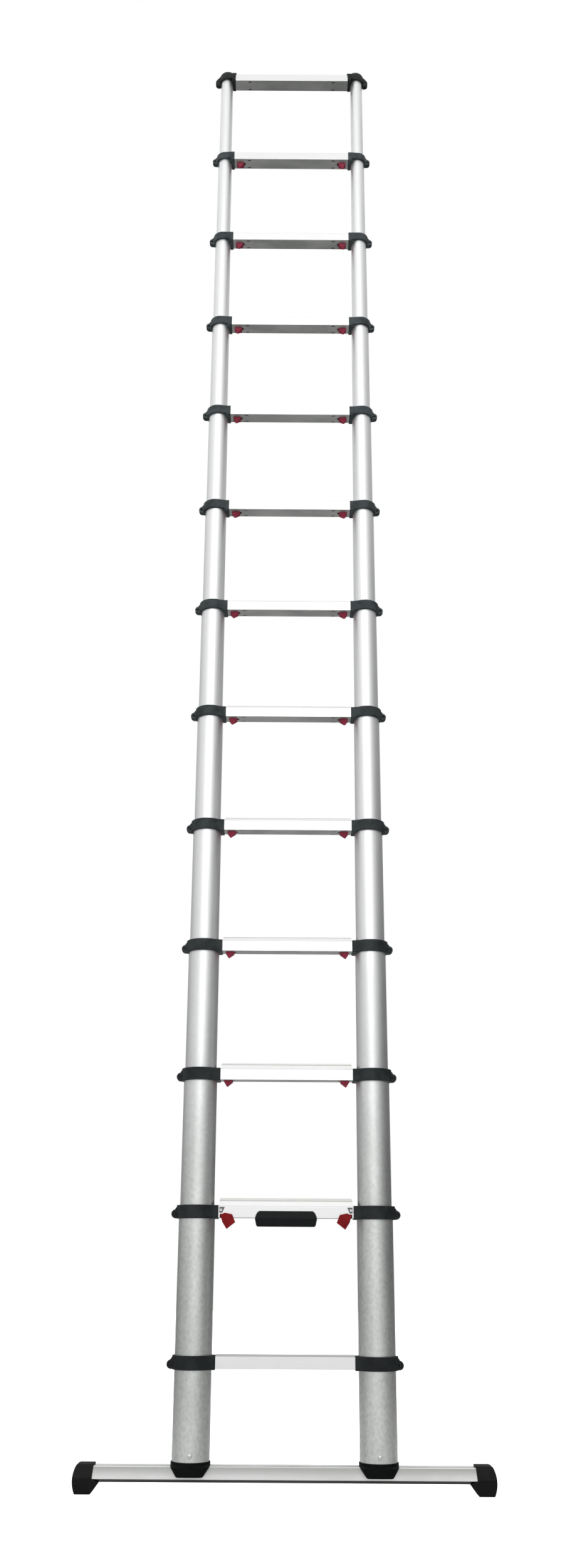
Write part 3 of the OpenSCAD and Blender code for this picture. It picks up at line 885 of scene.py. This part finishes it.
def foot_cap_mesh(side):
    """Moulded shoe at a stile's foot: round where it grips the tube, and squarer
    and tapering where it hangs in front of and behind the bar."""
    low, high = box_of["stile_foot_caps"]
    skirt, saddle, corner = high.y, high.y - 0.5 * MM, high.y + 7 * MM
    sharpness = 18  # of the squarer part's corners
    # height above the lower edge and how far the edge is drawn in, in millimetres
    levels = [(0.0, 1.5), (0.4, 0.6), (1.5, 0.0), (5, 0), (9, 0), (13.5, 0), (16.5, 0),
              (18.5, 0), (20.5, 0), (22, 0), (23.5, 0), (26.2, 0), (27.2, 0.5), (27.5, 1.5)]
    rows = []
    for lift, pulled in levels:
        width = min(saddle, (28 + 0.75 * lift) * MM)
        round_share = smoothstep((lift - 19) / 3.5)
        row = []
        for i in range(120):
            turn = 2 * math.pi * i / 120
            across, along = max(abs(math.cos(turn)), 1e-3), max(abs(math.sin(turn)), 1e-3)
            limits = (corner, width / across, saddle / along)
            square = sum(limit ** -sharpness for limit in limits) ** (-1 / sharpness)
            reach = square * (1 - round_share) + skirt * round_share - pulled * MM
            row.append((side * (STILE_X + reach * math.cos(turn)), reach * math.sin(turn),
                        low.z + lift * MM))
        rows.append(row)
    bm = bmesh.new()
    close_ends(bm, add_grid(bm, rows, close_rows=False))
    return bm


def make_foot_caps():
    for name, side in SIDES.items():
        finish_piece(f"foot_cap_{name}", to_mesh(foot_cap_mesh(side), "foot_cap"),
                     "foot_cap_plastic", body_of["stile_foot_caps"], "stile_foot_caps",
                     smooth_angle=45)


def bar_foot_mesh(side):
    """Rubber foot on a bar's end: a prism with a curved outer side and a front and
    back that lean in above a fold, its edges rounded."""
    end_x, half_depth, _ = box_of["bar_feet"][1]
    curve_r, curve_z = 60 * MM, 26 * MM
    lean, lean_over = 2.7, 26  # how far the front has leaned in at how much height
    outline = [(-38.5, 0), (-55.5, 22.5), (-40.5, 28.5), (-44, 57), (-12, 57)]
    outline = [(end_x + x * MM, z * MM) for x, z in outline]
    for k in range(25):
        turn = math.radians(29.5 - 55 * k / 24)
        outline.append((end_x - curve_r + curve_r * math.cos(turn),
                        max(0.0, curve_z + curve_r * math.sin(turn))))
    outline[-1] = (outline[-1][0], 0.0)
    bm = bmesh.new()
    close_ends(bm, add_grid(bm, [
        [(side * x, y, z) for x, z in outline] for y in (-half_depth, half_depth)
    ], close_rows=False))
    bmesh.ops.recalc_face_normals(bm, faces=bm.faces)
    bmesh.ops.bisect_plane(bm, geom=bm.verts[:] + bm.edges[:] + bm.faces[:],
                           plane_co=(0, 0, FOOT_FOLD_Z), plane_no=(0, 0, 1))
    for vert in bm.verts:
        rise = max(0.0, vert.co.z - FOOT_FOLD_Z)
        vert.co.y *= 1 - rise * lean / lean_over / half_depth
    round_edges(bm, 4.5, 1.5 * MM, 3)
    return bm


def make_bar_feet():
    for name, side in SIDES.items():
        finish_piece(f"bar_foot_{name}", to_mesh(bar_foot_mesh(side), "bar_foot"), "foot_rubber",
                     body_of["bar_feet"], "bar_feet", smooth_angle=40)


def make_foot_bolts():
    """Button-head bolts at the front and back of each stile's foot."""
    low, high = box_of["foot_bolts"]
    z = (low.z + high.z) / 2
    face_y = tube_radius(1) + 0.2 * MM
    for name, side in SIDES.items():
        for place, out in (("front", -1), ("back", 1)):
            centre = (side * STILE_X, z)
            bm = screw_mesh(centre, out * face_y, head_r=4.6 * MM, head_h=3 * MM,
                            socket=3 * MM, out=out)
            piece = f"foot_bolt_{place}_{name}"
            finish_piece(piece, to_mesh(bm, piece), "steel", body_of["foot_bolts"], "foot_bolts")


def make_label():
    """The plate on rung 2, left blank."""
    bm = softened("label_plate", 1.4 * MM, least_angle=12)
    finish_piece("label_plate_blank", to_mesh(bm, "label_plate"), "label_plastic",
                 body_of["label_plate"], "label_plate", smooth_angle=40)


def make_bar():
    """The bar with its long edges rounded."""

    def outer(edge):
        return abs(edge.verts[0].co.x - edge.verts[1].co.x) > 0.1

    bm = softened("stabiliser_bar", 0.5 * MM, least_angle=20, chosen=outer, segments=2)
    finish_piece("stabiliser_bar_body", to_mesh(bm, "stabiliser_bar"), "bar_aluminium",
                 body_of["stabiliser_bar"], "stabiliser_bar", smooth_angle=20)


def dress_nodes():
    """Gives every CAD node the material of its slot in the record."""
    for row in frame["record"]["subparts"]:
        mesh = frame["nodes"][row["node"]].data
        mesh.materials.clear()
        slot = "bracket_steel" if row["node"] == "trigger_brackets" else row["material_slot"]
        mesh.materials.append(materials[slot])


materials = {}
make_camera()
make_world()
make_floor()
area_light("key", KEY_PLACE, KEY_TARGET, KEY_SIZE, KEY_POWER)
materials.update(make_materials())
dress_nodes()
make_collars()
make_end_caps()
make_rungs()
make_pairs()
make_triggers()
make_foot_caps()
make_bar_feet()
make_foot_bolts()
make_label()
make_bar()
